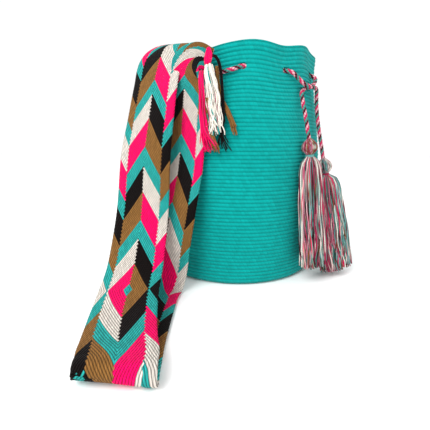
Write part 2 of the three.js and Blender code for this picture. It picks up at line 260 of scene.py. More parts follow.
# ---- shaders ----
class Cloth:
    """A cloth material's node tree, with a short call for each kind of node."""

    def __init__(self, name, roughness=0.9, sheen=0.25, sheen_roughness=0.5):
        self.material = bpy.data.materials.new(name)
        self.material.use_nodes = True
        self.tree = self.material.node_tree
        self.surface = self.tree.nodes["Principled BSDF"]
        self.surface.inputs["Roughness"].default_value = roughness
        self.surface.inputs["Sheen Weight"].default_value = sheen
        self.surface.inputs["Sheen Roughness"].default_value = sheen_roughness
        self.surface.inputs["Specular IOR Level"].default_value = 0.05

    def put(self, socket, value):
        if isinstance(value, bpy.types.NodeSocket):
            self.tree.links.new(value, socket)
        else:
            socket.default_value = value

    def math(self, operation, *values):
        node = self.tree.nodes.new("ShaderNodeMath")
        node.operation = operation
        for socket, value in zip(node.inputs, values):
            self.put(socket, value)
        return node.outputs[0]

    def mix(self, factor, low, high, blend="MIX"):
        node = self.tree.nodes.new("ShaderNodeMix")
        node.data_type = "RGBA"
        node.blend_type = blend
        self.put(node.inputs["Factor"], factor)
        self.put(node.inputs[6], low)
        self.put(node.inputs[7], high)
        return node.outputs[2]

    def weave(self):
        """The piece's own two coordinates along the cloth."""
        node = self.tree.nodes.new("ShaderNodeUVMap")
        node.uv_map = "weave"
        split = self.tree.nodes.new("ShaderNodeSeparateXYZ")
        self.tree.links.new(node.outputs[0], split.inputs[0])
        return split.outputs[0], split.outputs[1]

    def place(self):
        return self.tree.nodes.new("ShaderNodeTexCoord").outputs["Object"]

    def attribute(self, name):
        node = self.tree.nodes.new("ShaderNodeAttribute")
        node.attribute_name = name
        return node.outputs["Color"]

    def noise(self, scale, detail=2.0, vector=None):
        node = self.tree.nodes.new("ShaderNodeTexNoise")
        node.inputs["Scale"].default_value = scale
        node.inputs["Detail"].default_value = detail
        self.put(node.inputs["Vector"], self.place() if vector is None else vector)
        return node.outputs["Fac"]

    def cell_noise(self, x, y):
        """A random number for each whole-numbered pair x, y."""
        join = self.tree.nodes.new("ShaderNodeCombineXYZ")
        self.put(join.inputs[0], x)
        self.put(join.inputs[1], y)
        node = self.tree.nodes.new("ShaderNodeTexWhiteNoise")
        node.noise_dimensions = "2D"
        self.tree.links.new(join.outputs[0], node.inputs["Vector"])
        return node.outputs["Value"]

    def between(self, value, low, high):
        """value, from 0 to 1, spread over low to high."""
        return self.math("MULTIPLY_ADD", value, high - low, low)

    def hump(self, value):
        """0 at each whole number and 1 halfway between: 4 f (1 - f) of the fraction f."""
        part = self.math("FRACT", value)
        rest = self.math("SUBTRACT", 1.0, part)
        return self.math("MULTIPLY", self.math("MULTIPLY", part, rest), 4.0)

    def colour(self, value, strength=None):
        """Sets the colour, dimmed by strength where it is given."""
        if strength is not None:
            grey = self.tree.nodes.new("ShaderNodeCombineColor")
            for socket in grey.inputs:
                self.put(socket, strength)
            value = self.mix(1.0, value, grey.outputs[0], "MULTIPLY")
        self.put(self.surface.inputs["Base Color"], value)

    def bump(self, height, depth, strength=1.0):
        node = self.tree.nodes.new("ShaderNodeBump")
        node.inputs["Strength"].default_value = strength
        node.inputs["Distance"].default_value = depth * MM
        self.put(node.inputs["Height"], height)
        self.put(self.surface.inputs["Normal"], node.outputs[0])


def crochet_material():
    """Teal cotton in single crochet. Every stitch is a leaning oval, offset by half a stitch from
    row to row, with painted shade darkening the hollows round it and a fine fluff over it."""
    cloth = Cloth("teal_crochet_cotton", roughness=0.9, sheen=0.06)
    across, row = cloth.weave()
    layer = cloth.math("FLOOR", row)
    inside = cloth.math("FRACT", row)
    lean = cloth.math("MULTIPLY_ADD", inside, 0.45, across)
    shifted = cloth.math("MULTIPLY_ADD", layer, 0.5, lean)
    stitch = cloth.hump(shifted)
    ridge = cloth.hump(row)
    fluff = cloth.noise(900.0, 3.0)
    tone = cloth.cell_noise(cloth.math("FLOOR", shifted), layer)
    # painted shade: the colour blends toward the deeper teal in the grooves between rows and in the gaps
    # between stitches
    shade = cloth.math("POWER", ridge, 0.35)
    shade = cloth.math("MULTIPLY", shade, cloth.between(cloth.math("POWER", stitch, 0.5), 0.84, 1.0))
    colour = cloth.mix(shade, TEAL_PAINTED_SHADE, TEAL)
    patch = cloth.between(cloth.noise(14.0), 0.9, 1.1)
    strength = cloth.math("MULTIPLY", cloth.between(tone, 0.92, 1.08), patch)
    cloth.colour(colour, cloth.math("MULTIPLY", strength, cloth.between(fluff, 0.9, 1.1)))
    relief = cloth.math("MULTIPLY", ridge, cloth.between(cloth.math("POWER", stitch, 0.6), 0.5, 1.0))
    cloth.bump(cloth.math("MULTIPLY_ADD", fluff, 0.3, relief), 0.6)
    return cloth.material


# The band's pattern, in centimetres along the band from its middle
CHEVRON_SLOPE = 1.6
HALF_PERIOD = 8.6
FIRST_FIELD = 3.35
SECOND_FIELD = 6.5
EDGE_SHIFT = 3.1
HEART = 0.75
RIB = 0.377
STITCH = 0.36
STEP = 0.22


def woven_material():
    """The band's chevrons. Four columns, 1 : 2 : 2 : 1 wide, lean alternately; in them the
    distance from the band's middle plus the chevron's slope is cut into fields of colour, one
    pair of colours for the left half and the right, swapped in every other half period. The ribs
    run along the chevrons and carry rows of small stitches, with painted shade darkening the
    hollows between them."""
    cloth = Cloth("woven_band_cotton", roughness=0.9, sheen=0.04)
    u, along = cloth.weave()
    width = BAND_WIDTH / 10
    step = cloth.math("PINGPONG", along, STEP)
    wide = cloth.math("MULTIPLY_ADD", cloth.math("SUBTRACT", step, STEP / 2), 0.12, u)
    side = cloth.math("SUBTRACT", wide, 0.5)
    off = cloth.math("ABSOLUTE", cloth.math("SUBTRACT", u, 0.5))
    bordered = cloth.math("ABSOLUTE", side)
    far = cloth.math("ABSOLUTE", along)
    inner = cloth.math("MULTIPLY_ADD", off, CHEVRON_SLOPE * width, far)
    turned = cloth.math("SUBTRACT", 2 / 3, off)
    outer = cloth.math("MULTIPLY_ADD", turned, CHEVRON_SLOPE * width, cloth.math("ADD", far, EDGE_SHIFT))
    at_edge = cloth.math("GREATER_THAN", bordered, 1 / 3)
    phase = cloth.math("ADD", cloth.math("MULTIPLY", inner, cloth.math("SUBTRACT", 1.0, at_edge)),
                       cloth.math("MULTIPLY", outer, at_edge))
    rib = cloth.math("FLOOR", cloth.math("DIVIDE", phase, RIB))
    level = cloth.math("MULTIPLY", cloth.math("ADD", rib, 0.5), RIB)
    period = cloth.math("FLOOR", cloth.math("DIVIDE", level, HALF_PERIOD))
    within = cloth.math("SUBTRACT", level, cloth.math("MULTIPLY", period, HALF_PERIOD))
    odd = cloth.math("MODULO", period, 2.0)
    right = cloth.math("GREATER_THAN", side, 0.0)
    swapped = cloth.math("ABSOLUTE", cloth.math("SUBTRACT", right, odd))
    first = cloth.mix(swapped, PINK, BROWN)
    second = cloth.mix(swapped, BAND_CREAM, BLACK)
    colour = cloth.mix(cloth.math("GREATER_THAN", within, FIRST_FIELD), first, second)
    beyond = cloth.math("GREATER_THAN", within, SECOND_FIELD)
    teal = cloth.math("ADD", beyond, cloth.math("LESS_THAN", level, HEART))
    colour = cloth.mix(teal, colour, BAND_TEAL)
    run = cloth.math("DIVIDE", cloth.math("MULTIPLY", u, width * math.hypot(1, CHEVRON_SLOPE)), STITCH)
    run = cloth.math("MULTIPLY_ADD", rib, 0.5, run)
    rounded = cloth.math("POWER", cloth.hump(cloth.math("DIVIDE", phase, RIB)), 0.75)
    stitch = cloth.math("POWER", cloth.hump(run), 0.5)
    relief = cloth.math("MULTIPLY", rounded, cloth.between(stitch, 0.5, 1.0))
    tone = cloth.cell_noise(cloth.math("FLOOR", run), rib)
    fluff = cloth.noise(1100.0, 3.0)
    # painted shade: the colour darkens where the relief is low, in the hollows between ribs and stitches; the
    # stitch tone also varies at random
    strength = cloth.math("MULTIPLY", cloth.between(relief, 0.2, 1.15), cloth.between(tone, 0.84, 1.12))
    cloth.colour(colour, strength)
    cloth.bump(cloth.math("MULTIPLY_ADD", fluff, 0.15, relief), 0.8)
    return cloth.material


def yarn_material(name, twist=2.4):
    """Cotton yarn: each vertex's own colour, with the ridges of its two plies winding round it and painted
    shade in the grooves between them.
    """
    cloth = Cloth(name, roughness=0.9, sheen=0.06)
    around, along = cloth.weave()
    ply = cloth.hump(cloth.math("MULTIPLY_ADD", along, 1 / twist, cloth.math("MULTIPLY", around, 2.0)))
    # painted shade: the colour darkens in the grooves between the plies and lightens a little on their crowns
    strength = cloth.between(cloth.math("POWER", ply, 0.5), 0.72, 1.05)
    fluff = cloth.noise(1500.0, 2.0)
    cloth.colour(cloth.attribute("yarn"), cloth.math("MULTIPLY", strength, cloth.between(fluff, 0.85, 1.1)))
    cloth.bump(ply, 0.25)
    return cloth.material


# ---- the crocheted body ----
def lean_at(z):
    return LEAN * (np.maximum(z, 0) / BODY_HEIGHT) ** 1.5


def body_radius(z):
    """Outer radius at a height: it swells a little above the base and narrows to the mouth."""
    swell = (BELLY_RADIUS - BASE_RADIUS) * smoothstep(z, 0, 60)
    return BASE_RADIUS + swell - (BELLY_RADIUS - MOUTH_RADIUS) * smoothstep(z, 140, 285)


def band_dent(bearing, z):
    """How far the band presses the wall in, where it lies over the rim."""
    return 5 * np.exp(-(((bearing + 44) / 20) ** 2)) * smoothstep(z, 190, 280)


def rim_wave(bearing):
    """How far the rim rises: eight soft waves and a dip under the band."""
    wave = -2 + 2 * np.cos(np.radians(8 * (bearing - 2)))
    return wave - 5 * np.exp(-(((bearing + 38) / 16) ** 2))


def around(bearing, radius, z):
    """The point at a bearing and a distance from the leaning axis, at a height."""
    angle = np.radians(bearing)
    return np.stack([lean_at(z) + radius * np.sin(angle), -radius * np.cos(angle),
                     z + 0 * angle], axis=-1)


def wall_radius(bearing):
    return body_radius(EYELET_HEIGHT) - band_dent(bearing, EYELET_HEIGHT)


def eyelet_z(bearing):
    return EYELET_HEIGHT + 0.8 * rim_wave(bearing)


def eyelet_bearing(i):
    return EYELET_START - i * 360 / EYELETS


COLUMNS = 224
ROW_SAMPLES = 5
LIP_RINGS = 5
RIDGE_SINK = 0.55  # how far the grooves between rows lie inside the body's own radius
INNER_SEARCH = 60  # rings of the inner wall among which the eyelets' zone begins


def body_profile():
    """The wall's profile from under the base's centre, up the outside, over the rim and down the
    inside: radius, height, count of crochet rows so far, depth of the rows' ridges, and which
    rings lie in the eyelets' zone on each side."""
    rows = round((BODY_HEIGHT - 1 - BASE_CORNER) / ROW_PITCH)
    pitch = (BODY_HEIGHT - 1 - BASE_CORNER) / rows
    under = np.linspace(1.5, BASE_RADIUS - BASE_CORNER, 24)
    corner = np.radians(np.linspace(0, 90, 6)[1:-1])
    wall = BASE_CORNER + np.arange(rows * ROW_SAMPLES + 1) / ROW_SAMPLES * pitch
    lip = np.radians(np.linspace(0, 180, LIP_RINGS + 2)[1:-1])
    zone = wall[(wall > EYELET_HEIGHT - 16) & (wall < EYELET_HEIGHT + 10)]
    coarse = wall[::ROW_SAMPLES]
    coarse = coarse[(coarse < zone[0] - 1) | (coarse > zone[-1] + 1)]
    inner = np.sort(np.concatenate([coarse, zone]))[::-1]
    inner = inner[inner > WALL + 6]
    floor = np.linspace(BASE_RADIUS - WALL - 3, 1.5, 16)
    radius = np.concatenate([under, BASE_RADIUS - BASE_CORNER * (1 - np.sin(corner)), body_radius(wall),
                             MOUTH_RADIUS - WALL / 2 + WALL / 2 * np.cos(lip),
                             body_radius(inner) - WALL, floor])
    height = np.concatenate([np.zeros_like(under), BASE_CORNER * (1 - np.cos(corner)), wall,
                             BODY_HEIGHT - 1 + np.sin(lip), inner, np.full_like(floor, WALL)])
    start = len(under) + len(corner)
    depth = np.zeros(len(radius))
    depth[start:start + len(wall)] = 1
    run = np.concatenate([[0], np.cumsum(np.hypot(np.diff(radius), np.diff(height)))])
    run = (run - run[start]) / pitch
    return radius, height, run, depth, start, len(wall), zone


def build_body():
    """The body as one surface of revolution, worked out on a grid of rings and columns: the
    profile's radius, less the drawstring's gathers and the band's dent, plus the ridge of each
    crochet row, the root of |sin| of its phase. The eyelets are openings through both walls,
    joined by short collars."""
    chance = np.random.default_rng(7)
    radius, height, run, depth, start, wall_rings, zone = body_profile()
    bearing = np.arange(COLUMNS) * 360 / COLUMNS
    bearing = (bearing + 180) % 360 - 180
    b, z = np.meshgrid(bearing, height)
    r = np.repeat(radius[:, None], COLUMNS, axis=1)
    gathered = smoothstep(z, GATHER_START, BODY_HEIGHT)
    pleat = gathered * PLEAT_DEPTH * np.cos(np.radians((b - EYELET_START) * EYELETS))
    shrink = np.where(radius > 1, 1, 0)[:, None] * (pleat + band_dent(b, z))
    row = np.floor(run + 0.001).astype(int)
    rows = row - row.min()
    crisp = chance.uniform(0.45, 1.0, rows.max() + 2)[rows][:, None]
    ridge = np.abs(np.sin(np.pi * run))[:, None] ** 0.7
    waves = np.zeros_like(b)
    for count in (2, 3, 5, 9, 14):
        turn = chance.uniform(0, 2 * np.pi, rows.max() + 2)
        turn = np.convolve(turn, np.ones(3) / 3, mode="same")[rows][:, None]
        waves += 0.35 / math.sqrt(count) * np.sin(np.radians(count * b) + turn)
    away = np.minimum(radius / 60, 1)[:, None]
    on_wall = depth[:, None]
    r = r - shrink + on_wall * (crisp * ridge - RIDGE_SINK) + 0.5 * waves * away * on_wall
    rise = rim_wave(b) * smoothstep(z, 180, BODY_HEIGHT)
    lift = 0.5 * waves * smoothstep(z, 12, 40) * on_wall
    points = around(b, r, z)
    points[..., 2] += rise + lift
    quads, at_row, at_column = grid_faces(len(radius), COLUMNS, wrap=True)
    across = np.linspace(0, STITCHES, COLUMNS + 1)
    corners = grid_corners(at_row, at_column, across, run).reshape(-1, 4, 2)
    vertices = points.reshape(-1, 3)

    keep = np.ones(len(quads), bool)
    collars = []
    inner_start = start + wall_rings + LIP_RINGS
    outer_zone = start + int(np.argmin(np.abs(height[start:start + wall_rings] - zone[0])))
    inner_heights = height[inner_start:inner_start + INNER_SEARCH]
    inner_zone = inner_start + int(np.argmin(np.abs(inner_heights - zone[-1])))
    middle = vertices[quads].mean(axis=1)
    for i in range(EYELETS):
        angle = eyelet_bearing(i)
        centre = around(np.array(angle), wall_radius(angle), np.array(float(eyelet_z(angle))))
        away_from = np.linalg.norm(middle - centre, axis=1)
        cut = (at_row >= outer_zone) & (at_row < outer_zone + len(zone) - 1) & (away_from < EYELET_RADIUS)
        cells = set(zip(at_row[cut].tolist(), at_column[cut].tolist()))
        mirrored = {(inner_zone + (outer_zone + len(zone) - 2 - r0), c0) for r0, c0 in cells}
        numbers = {(int(p), int(q)): k for k, (p, q) in enumerate(zip(at_row, at_column))
                   if (int(p), int(q)) in cells or (int(p), int(q)) in mirrored}
        keep[list(numbers.values())] = False

        def twin(vertex):
            ring, column = divmod(vertex, COLUMNS)
            return (inner_zone + outer_zone + len(zone) - 1 - ring) * COLUMNS + column

        for r0, c0 in sorted(cells):
            c1 = (c0 + 1) % COLUMNS
            v = [r0 * COLUMNS + c0, r0 * COLUMNS + c1, (r0 + 1) * COLUMNS + c1, (r0 + 1) * COLUMNS + c0]
            beside = [(r0 - 1, c0), (r0, c1), (r0 + 1, c0), (r0, (c0 - 1) % COLUMNS)]
            for k, cell in enumerate(beside):
                if cell not in cells:
                    p, q = v[k], v[(k + 1) % 4]
                    collars.append([p, q, twin(q), twin(p)])
        edge = np.unique([corner for cell in collars[-40:] for corner in cell[:2]])
        near = edge[np.linalg.norm(vertices[edge] - centre, axis=1) < 2.2 * EYELET_RADIUS]
        outward = np.array([math.sin(math.radians(angle)), -math.cos(math.radians(angle)), 0])
        for ring, base in ((near, centre), (np.array([twin(k) for k in near]), centre - WALL * outward)):
            offset = vertices[ring] - base
            offset -= np.outer(offset @ outward, outward)
            vertices[ring] += offset * (EYELET_RADIUS / np.linalg.norm(offset, axis=1) - 1)[:, None]
    faces = [quads[keep], np.array(collars)]
    base_end = fans([0], COLUMNS, True)
    floor_end = fans([(len(radius) - 1) * COLUMNS], COLUMNS, False)
    spare = np.zeros((4 * len(collars) + 3 * (len(base_end) + len(floor_end)), 2))
    piece = make_piece("crochet_shell", vertices, [*faces, base_end, floor_end],
                       [corners[keep].reshape(-1, 2), spare])
    piece.data.materials.append(crochet_material())
    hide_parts("crochet_body")
    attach(piece, "root")
    return piece


# ---- the drawstring ----
FIRST_END = [
    (57.5, 127.5, 156), (57, 124, 172), (56.5, 117.5, 200), (57, 113.5, 220), (57, 112, 233),
    (54, 113, 241), (47, 114.3, 242.5), (40, 114, 243), (35, 110.5, 249), (31, 107, 256),
]
SECOND_END = [
    (60, 106.8, 256), (57, 107.4, 249), (50, 107, 243.5), (43, 107.2, 240.5), (39, 109.5, 234),
    (38.5, 113.5, 222), (38.8, 119, 204), (39.4, 124.5, 181.4),
]


def drawstring_route():
    """From one tassel to the tie, in and out of every eyelet, and back to the other tassel."""
    step = 360 / EYELETS
    threaded = []
    for i in range(EYELETS):
        bearing = eyelet_bearing(i)
        threaded.append(around(bearing, wall_radius(bearing) - WALL / 2, eyelet_z(bearing)))
        if i < EYELETS - 1:
            inside = i % 2 == 0
            offset = -WALL - CORD_OFFSET if inside else CORD_OFFSET
            for share in (0.3, 0.7):
                at = bearing - share * step
                z = eyelet_z(bearing) * (1 - share) + eyelet_z(bearing - step) * share
                threaded.append(around(at, wall_radius(at) + offset, z - (1 if inside else 4)))
    ends = [[around(*point) for point in end] for end in (FIRST_END, SECOND_END)]
    return np.array([*ends[0], *threaded, *ends[1]])


PLIES = 4
LAY = 15


def build_drawstring():
    """A cord of four plies: the section's radius is the cord's, cut in by four hollows, and turns
    once in every lay. Each ply keeps its colour and is flecked with its neighbours'."""
    line, along = even_curve(drawstring_route(), 0.9)
    sides = 24
    angle = np.linspace(0, 2 * np.pi, sides, endpoint=False)[None]
    turn = 2 * np.pi * along[:, None] / LAY
    ply = ((angle - turn) / (2 * np.pi) * PLIES) % PLIES
    bulge = np.abs(np.sin(np.pi * ply)) ** 0.6
    radius = CORD_RADIUS * (0.74 + 0.3 * bulge)
    ring = np.stack([radius * np.cos(angle), radius * np.sin(angle)], axis=-1)
    palette = np.array([ROSE, PALE_ROSE, BLACK, SOFT_GREEN])
    accent = np.array([PINK, CREAM, ROSE, AQUA])
    fleck = 0.5 + 0.5 * np.sin(5 * 2 * np.pi * ply + 2 * np.pi * along[:, None] / 37)
    share = (0.55 * fleck**2)[..., None]
    index = np.floor(ply).astype(int) % PLIES
    colours = palette[index] * (1 - share) + accent[index] * share
    piece = tube("drawstring_cord", line, ring, colours.reshape(-1, 4), along)
    piece.data.materials.append(yarn_material("twisted_cord_cotton", twist=3.2))
    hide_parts("drawstring")
    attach(piece, "root")
    return piece, line, along


# ---- the woven band ----
BAND_ROUTE = [
    ((53.5, 92.5, 268), (0.87, -0.5, 0)), ((54.5, 94.5, 283), (0.86, -0.5, 0)),
    ((48, 88, 297), (0.8, -0.58, 0)), ((28, 68, 299.5), (0.72, -0.68, 0)),
    ((-12, 28, 296), (0.7, -0.72, -0.03)), ((-55, -13, 300), (0.72, -0.69, -0.1)),
    ((-76, -35, 300), (0.74, -0.65, -0.15)), ((-91, -53, 292), (0.8, -0.58, -0.04)),
    ((-98, -64, 275), (0.86, -0.48, -0.12)), ((-103, -80, 246), (0.89, -0.46, 0)),
    ((-108.5, -97, 201), (0.92, -0.38, 0.04)), ((-113.5, -107, 162), (0.95, -0.28, 0.05)),
    ((-117, -118, 104), (0.98, -0.18, 0.05)), ((-119, -135, 70), (0.99, -0.12, 0.07)),
    ((-120.5, -158, 42), (0.99, -0.1, 0.08)), ((-121.5, -187, 25), (0.99, -0.06, 0.06)),
    ((-118, -220, 18), (0.99, -0.1, 0.04)), ((-113, -248, 16), (0.97, -0.2, 0.02)),
    ((-108, -268, 17), (0.98, -0.15, 0)), ((-106, -283, 16), (0.98, -0.13, 0)),
    ((-105, -290, 10), (0.98, -0.13, 0)), ((-106, -284, 4), (0.98, -0.13, 0)),
    ((-107, -266, 2.7), (0.98, -0.1, 0)), ((-108, -235, 2.6), (0.99, -0.06, 0)),
    ((-107.5, -190, 2.6), (1, 0, 0)), ((-106, -150, 2.9), (1, 0, 0)), ((-103, -134, 7), (1, -0.03, 0)),
    ((-98, -126, 22), (0.99, -0.1, 0)), ((-92, -121, 55), (0.96, -0.26, 0)),
    ((-83, -112, 102), (0.93, -0.36, 0)), ((-74, -102, 151), (0.9, -0.43, 0)),
    ((-69.5, -94, 203), (0.86, -0.5, 0)), ((-67, -91.5, 236), (0.86, -0.5, 0)),
    ((-65.5, -92.5, 254), (0.8, -0.5, -0.33)), ((-60, -96, 265.5), (0.5, -0.3, -0.8)),
    ((-49, -101.5, 271), (0.05, -0.05, -1)), ((-35.5, -104.5, 266.5), (-0.35, 0.15, -0.92)),
]
BAND_MIDDLE = 14  # the route's point where the pattern's middle lies
BAND_ACROSS = 40
# The pattern's mirror line lies PATTERN_START past that point. The run that goes back up to the
# bag is stretched by its own weight and lies uneven, which shifts the pattern by up to PATTERN_SHIFT.
PATTERN_START = 29
PATTERN_STRETCH = 1.04
PATTERN_SHIFT = 25
# Over the last GATHERED millimetres, where the end is drawn in, it closes up by PATTERN_GATHER.
PATTERN_GATHER = 26
GATHERED = 90


def pattern_place(distance, run):
    """The pattern's distance from its mirror line, in centimetres, at a distance in millimetres
    past it: d / 10 on the first run, and (d / stretch - shift sin(pi d / run)) / 10 on the
    second, which is run long, plus what its gathered end adds."""
    uneven = PATTERN_SHIFT * np.sin(np.pi * np.clip(distance / run, 0, 1))
    gathered = PATTERN_GATHER * smoothstep(distance, run - GATHERED, run)
    return np.where(distance < 0, distance, distance / PATTERN_STRETCH - uneven + gathered) / 10


def build_band():
    """The band as a bowed strip carried along its route: across it, distance u times the width,
    raised by the bow, with round edges from the 16th power, and a slight ripple at each stitch
    along the two edges."""
    points = np.array([point for point, _ in BAND_ROUTE], float)
    sides = np.array([side for _, side in BAND_ROUTE], float)
    line = fine_curve(points)
    across = fine_curve(sides)
    along = distance_along(line)
    wanted = np.linspace(0, along[-1], 720)
    centre = at_distances(line, along, wanted)
    side = at_distances(across, along, wanted)
    tangent = unit(np.gradient(centre, axis=0))
    side = unit(side - tangent * np.sum(side * tangent, axis=1, keepdims=True))
    face = np.cross(tangent, side)
    from_end = np.minimum(wanted, along[-1] - wanted)
    full = smoothstep(from_end, 0, BAND_TAPER)
    width = BAND_END_WIDTH + (BAND_WIDTH - BAND_END_WIDTH) * full
    width = width + 0.5 * np.abs(np.sin(np.pi * wanted / 4.4)) * full
    share = np.linspace(-1, 1, BAND_ACROSS + 1)
    edge = (1 - np.abs(share) ** 16) ** 0.5
    bow = BAND_BOW * (0.4 - share**2)
    upper = bow + edge * BAND_THICKNESS / 2
    lower = bow - edge * BAND_THICKNESS / 2
    loop_share = np.concatenate([share, share[::-1][1:-1]])
    loop_height = np.concatenate([lower, upper[::-1][1:-1]])
    ring = (loop_share[None, :, None] * width[:, None, None] / 2 * side[:, None]
            + loop_height[None, :, None] * face[:, None])
    grid = centre[:, None] + ring
    count = len(loop_share)
    quads, r, c = grid_faces(len(grid), count, wrap=True)
    loop_u = (np.append(loop_share, -1) + 1) / 2
    mirror = along[BAND_MIDDLE * CURVE_PIECES] + PATTERN_START
    pattern = pattern_place(wanted - mirror, along[-1] - mirror)
    corners = grid_corners(r, c, loop_u, pattern)
    k = np.arange(BAND_ACROSS)
    cap = np.stack([k, k + 1, (count - k - 1) % count, (count - k) % count], axis=-1)
    cap[0, 3] = 0
    last = (len(grid) - 1) * count
    start, end = cap[:, ::-1], cap + last
    caps = [corner for quad in (start, end) for corner in quad]
    spare = np.zeros((4 * len(caps), 2))
    piece = make_piece("woven_band", grid.reshape(-1, 3), [quads, np.array(caps)], [corners, spare])
    piece.data.materials.append(woven_material())
    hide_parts("strap")
    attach(piece, "root")
    return piece


# ---- tassels ----
TASSELS = {
    "left": {"top": (82, -96, 180.8), "length": 160, "broad": 20, "narrow": 13, "facing": 35,
             "lean_x": -1.8, "lean_y": -5, "seed": 21},
    "right": {"top": (110, -68.5, 155.5), "length": 150, "broad": 24, "narrow": 15, "facing": 20,
              "lean_x": -2.5, "lean_y": -10, "seed": 34},
}
MIXED = np.array([ROSE, PALE_ROSE, AQUA, CREAM, SOFT_GREEN, BLACK, BROWN, PINK])
MIXED_SHARES = np.array([0.23, 0.14, 0.2, 0.15, 0.08, 0.11, 0.06, 0.03])
YARN_RADIUS = 0.66


def hung(points, spec):
    """Points turned about Z, then leant about Y and X, and moved to the cord's end."""
    a, x, y = np.radians([spec["facing"], spec["lean_x"], spec["lean_y"]])
    about_z = np.array([[np.cos(a), -np.sin(a), 0], [np.sin(a), np.cos(a), 0], [0, 0, 1]])
    about_y = np.array([[np.cos(y), 0, np.sin(y)], [0, 1, 0], [-np.sin(y), 0, np.cos(y)]])
    about_x = np.array([[1, 0, 0], [0, np.cos(x), -np.sin(x)], [0, np.sin(x), np.cos(x)]])
    return points @ (about_x @ about_y @ about_z).T + np.array(spec["top"])


def clumped_colours(chance, count, steps, clumps, together=0.15):
    """A colour for each yarn, its own or its clump's, mixed with a second one that comes and goes
    along it, and with a slow change of tone."""
    own = chance.choice(len(MIXED), count, p=MIXED_SHARES)
    shared = chance.choice(len(MIXED), clumps.max() + 1, p=MIXED_SHARES)[clumps]
    pick = np.where(chance.random(count) < together, shared, own)
    second = chance.choice(len(MIXED), count, p=MIXED_SHARES)
    t = np.linspace(0, 1, steps)[None, :, None]
    start = chance.random(count)[:, None, None]
    part = 0.3 + 0.3 * np.sin(2 * np.pi * (t * 3 + start))
    tone = 0.92 + 0.16 * np.sin(2 * np.pi * (t * 2 + 1.7 * start))
    mixed = MIXED[pick][:, None] * (1 - part) + MIXED[second][:, None] * part
    return np.clip(mixed * tone, 0, 1)


def build_skirt(side, spec):
    """A tassel's hanging yarns. Each leaves the neck, swings out to its own place in a flat oval
    and hangs: its distance from the middle grows as 1 - exp(-t) near the neck and as a quarter
    sine below, and its bearing drifts with a slow wave."""
    chance = np.random.default_rng(spec["seed"])
    count, steps = 520, 18
    share = chance.random(count) ** 0.4
    bearing = chance.random(count) * 2 * np.pi
    clumps = np.floor(bearing / (2 * np.pi) * 15).astype(int)
    towards = (clumps + 0.5) / 15 * 2 * np.pi
    t = np.linspace(0, 1, steps)[None]
    length = spec["length"] - 20 - 9 * chance.random(count) ** 2 - 14 * (chance.random(count) < 0.08)
    angle = bearing[:, None] + (towards - bearing)[:, None] * 0.35 * t
    for waves, size in ((1.3, 0.14), (2.7, 0.08)):
        angle = angle + size * t * np.sin(2 * np.pi * (waves * t + chance.random(count)[:, None]))
    opening = 0.72 * (1 - np.exp(-t / 0.045)) + 0.28 * np.sin(np.pi * t / 2)
    sway = np.sin(2 * np.pi * (1.7 * t + chance.random(count)[:, None]))
    reach = share[:, None] * opening * (1 + 0.06 * sway)
    neck = 3.2 * share[:, None] * (1 - opening)
    x = (spec["broad"] * reach + neck) * np.cos(angle)
    y = (spec["narrow"] * reach + neck) * np.sin(angle)
    z = -19 - length[:, None] * t
    lines = hung(np.stack([x, y, z], axis=-1), spec)
    lines[..., 2] = np.maximum(lines[..., 2], 1.5)
    radius = np.full((count, steps), YARN_RADIUS) * chance.uniform(0.8, 1.2, count)[:, None]
    reference = np.tile([0.2, 1.0, 0.1], (count, 1))
    colours = clumped_colours(chance, count, steps, clumps)
    return yarns(f"tassel_skirt_{side}", lines, radius, colours, reference)


def build_head(side, spec):
    """A tassel's looped head: yarns that arch from the cord's end round to the neck over an onion
    whose radius is a power of the sine of its height. Each leans to one side by its own amount."""
    chance = np.random.default_rng(spec["seed"] + 1)
    count, steps = 84, 15
    bearing = (np.arange(count) + chance.uniform(-0.3, 0.3, count)) * 2 * np.pi / (count / 2)
    clumps = np.floor(bearing / (2 * np.pi) * 7).astype(int) % 14
    layer = np.where(np.arange(count) < count / 2, 1.0, 0.8)[:, None]
    t = np.linspace(0, 1, steps)[None]
    swell = chance.uniform(0.78, 1.08, count)[:, None] * layer
    reach = 1.0 + 8.6 * swell * np.sin(np.pi * t ** 1.1) ** 0.85
    tilt = chance.uniform(-0.75, 0.75, count)[:, None]
    angle = bearing[:, None] + tilt * np.sin(np.pi * t)
    z = 1.5 - 20.5 * t
    points = np.stack([reach * np.cos(angle), reach * np.sin(angle) * 0.9, z + 0 * angle], axis=-1)
    lines = hung(points, spec)
    radius = np.full((count, steps), 0.85)
    reference = np.stack([-np.sin(bearing), np.cos(bearing), 0 * bearing], axis=-1)
    colours = 0.78 * clumped_colours(chance, count, steps, clumps, together=0.7)
    return yarns(f"tassel_head_{side}", lines, radius, colours, reference, 6)


def build_wrap(side, spec):
    """The wrap that binds a tassel's neck: a yarn wound round it in a close helix of six turns."""
    turns, steps = 6, 180
    t = np.linspace(0, 1, steps)
    angle = 2 * np.pi * turns * t
    reach = 4.5 + 0.2 * np.sin(2 * np.pi * 2.3 * t)
    points = np.stack([reach * np.cos(angle), reach * np.sin(angle), -18.2 - 3.6 * t], axis=-1)
    line = hung(points, spec)
    colour = np.tile(AQUA if side == "left" else ROSE, (1, steps, 1))
    return yarns(f"tassel_wrap_{side}", line[None], np.full((1, steps), 0.62), colour,
                 np.array([[0.02, 0.03, 1.0]]), 6)


def build_tassel(side, spec, material):
    skirt, head, wrap = build_skirt(side, spec), build_head(side, spec), build_wrap(side, spec)
    for piece in (skirt, head, wrap):
        piece.data.materials.append(material)
        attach(piece, "root")
    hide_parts(f"tassel_{side}")
    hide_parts(f"tassel_binding_{side}")
    return [skirt, head, wrap]


